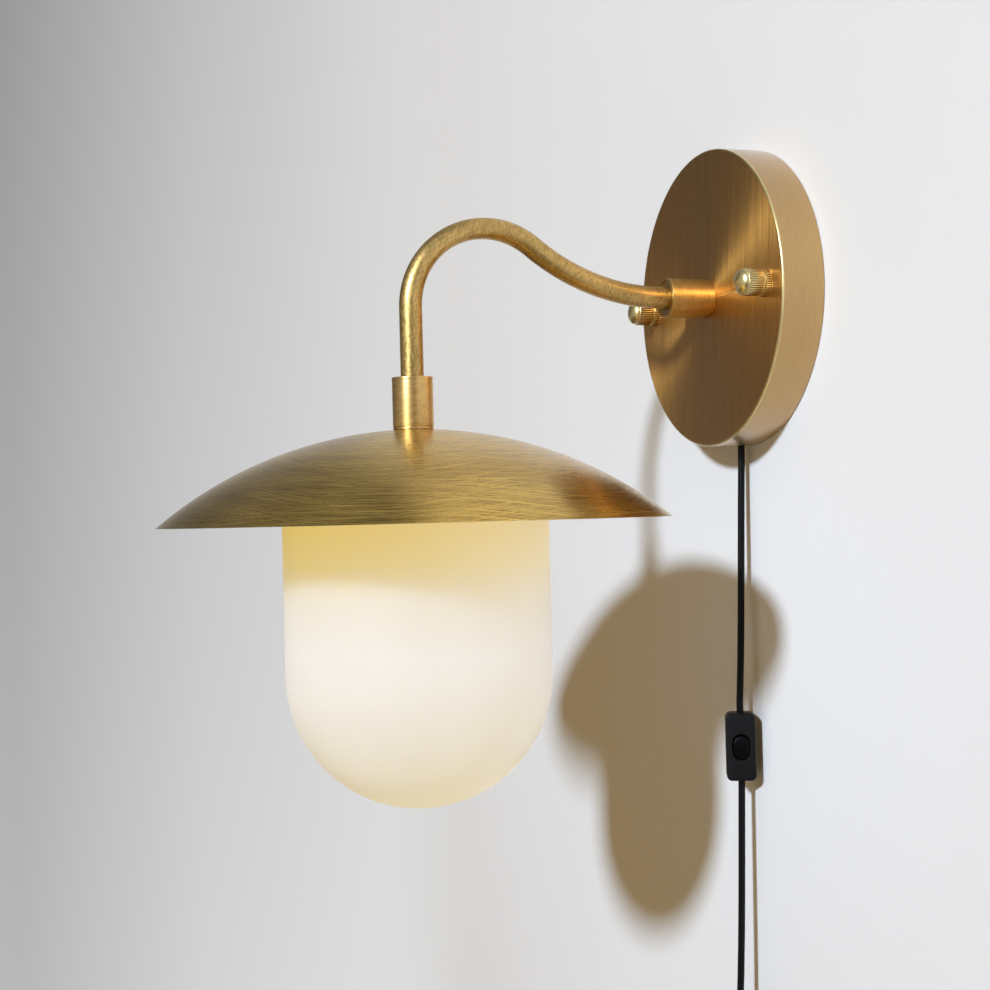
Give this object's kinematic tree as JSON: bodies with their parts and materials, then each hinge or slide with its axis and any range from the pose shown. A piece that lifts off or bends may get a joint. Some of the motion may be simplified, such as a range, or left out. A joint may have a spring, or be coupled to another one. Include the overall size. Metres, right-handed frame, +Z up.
{
  "type": "plug-in wall lamp",
  "caption": "Plug-in wall lamp: round plate, swan-neck arm, spun dome shade, opal glass, and a thin cord with an in-line rocker switch and plug.",
  "frame": {"origin": "middle of the round wall plate, on the wall", "axes": "+Z up, +Y into the wall, so the lamp stands out of the wall along -Y; X runs along the wall"},
  "size_m": [0.205, 0.2552, 0.4885],
  "materials": {
    "plate_brass": "antique brushed brass, upright grain",
    "collar_brass": "antique brushed brass, turned grain",
    "arm_brass": "antique satin brass",
    "shade_brass": "antique brushed brass, grain in rings",
    "bright_brass": "polished knurled brass",
    "thread_brass": "plain turned brass",
    "strap_steel": "zinc plated",
    "opal_glass": "satin opal",
    "holder_plastic": "off-white, matt",
    "bulb_metal": "plain",
    "bulb_glass": "frosted white",
    "black_rubber": "matt",
    "cord_rubber": "smooth black sheath",
    "lead_plastic": "smooth",
    "black_plastic": "satin black",
    "rocker_plastic": "smooth black",
    "tie_fabric": "woven black strap",
    "blade_metal": "nickel plated"
  },
  "bodies": {
    "lamp": {"back_plate": "plate_brass", "wall_strap": "strap_steel", "strap_studs": "strap_steel", "plate_collar": "collar_brass", "arm_nipple": "thread_brass", "arm_lock_washer": "strap_steel", "arm_lock_nut": "thread_brass", "arm_tube": "arm_brass", "shade_collar": "collar_brass", "shade_washer": "bright_brass", "shade_nipple": "thread_brass", "shade_lock_nut": "thread_brass", "dome_shade": "shade_brass", "glass_holder": "collar_brass", "glass_ring": "black_rubber", "lamp_holder_cap": "holder_plastic", "lamp_holder_sleeve": "holder_plastic", "screw_shell": "thread_brass", "centre_contact": "thread_brass", "cord_grommet": "black_rubber", "cord_stop": "strap_steel", "cord_inside": "cord_rubber", "lead_wires": "lead_plastic", "cord_upper": "cord_rubber", "switch_front": "black_plastic", "switch_back": "black_plastic", "switch_screw": "strap_steel", "switch_contacts": "thread_brass", "cord_lower": "cord_rubber", "cord_coil": "cord_rubber", "cord_tie": "tie_fabric", "plug_body": "black_plastic", "plug_blades": "blade_metal"},
    "right_cap_nut": {"cap_nut_right": "bright_brass"},
    "left_cap_nut": {"cap_nut_left": "bright_brass"},
    "glass": {"opal_glass": "opal_glass"},
    "bulb": {"bulb_cap": "bulb_metal", "bulb_glass": "bulb_glass"},
    "screw_a": {"thumbscrew_a": "bright_brass"},
    "screw_b": {"thumbscrew_b": "bright_brass"},
    "screw_c": {"thumbscrew_c": "bright_brass"},
    "rocker": {"switch_rocker": "rocker_plastic"}
  },
  "joints": [
    {"name": "right_cap_nut_turn", "type": "hinge", "parent": "lamp", "child": "right_cap_nut", "pos_m": [0.05, -0.025, 0], "axis": [0, -1, 0], "continuous": true},
    {"name": "left_cap_nut_turn", "type": "hinge", "parent": "lamp", "child": "left_cap_nut", "pos_m": [-0.05, -0.025, 0], "axis": [0, -1, 0], "continuous": true},
    {"name": "glass_drop", "type": "slide", "parent": "lamp", "child": "glass", "axis": [0, 0, -1], "range_m": [0, 0.11]},
    {"name": "bulb_turn", "type": "hinge", "parent": "lamp", "child": "bulb", "pos_m": [0, -0.1527, -0.09], "axis": [0, 0, 1], "continuous": true},
    {"name": "thumbscrew_a_travel", "type": "slide", "parent": "lamp", "child": "screw_a", "axis": [0, 1, 0], "range_m": [0, 0.0025]},
    {"name": "thumbscrew_b_travel", "type": "slide", "parent": "lamp", "child": "screw_b", "axis": [-0.866, -0.5, 0], "range_m": [0, 0.0025]},
    {"name": "thumbscrew_c_travel", "type": "slide", "parent": "lamp", "child": "screw_c", "axis": [0.866, -0.5, 0], "range_m": [0, 0.0025]},
    {"name": "rocker_tilt", "type": "hinge", "parent": "lamp", "child": "rocker", "pos_m": [0.00286, -0.00973, -0.193], "axis": [-0.4478, -0.8942, 0], "range_deg": [0, 14]}
  ]
}
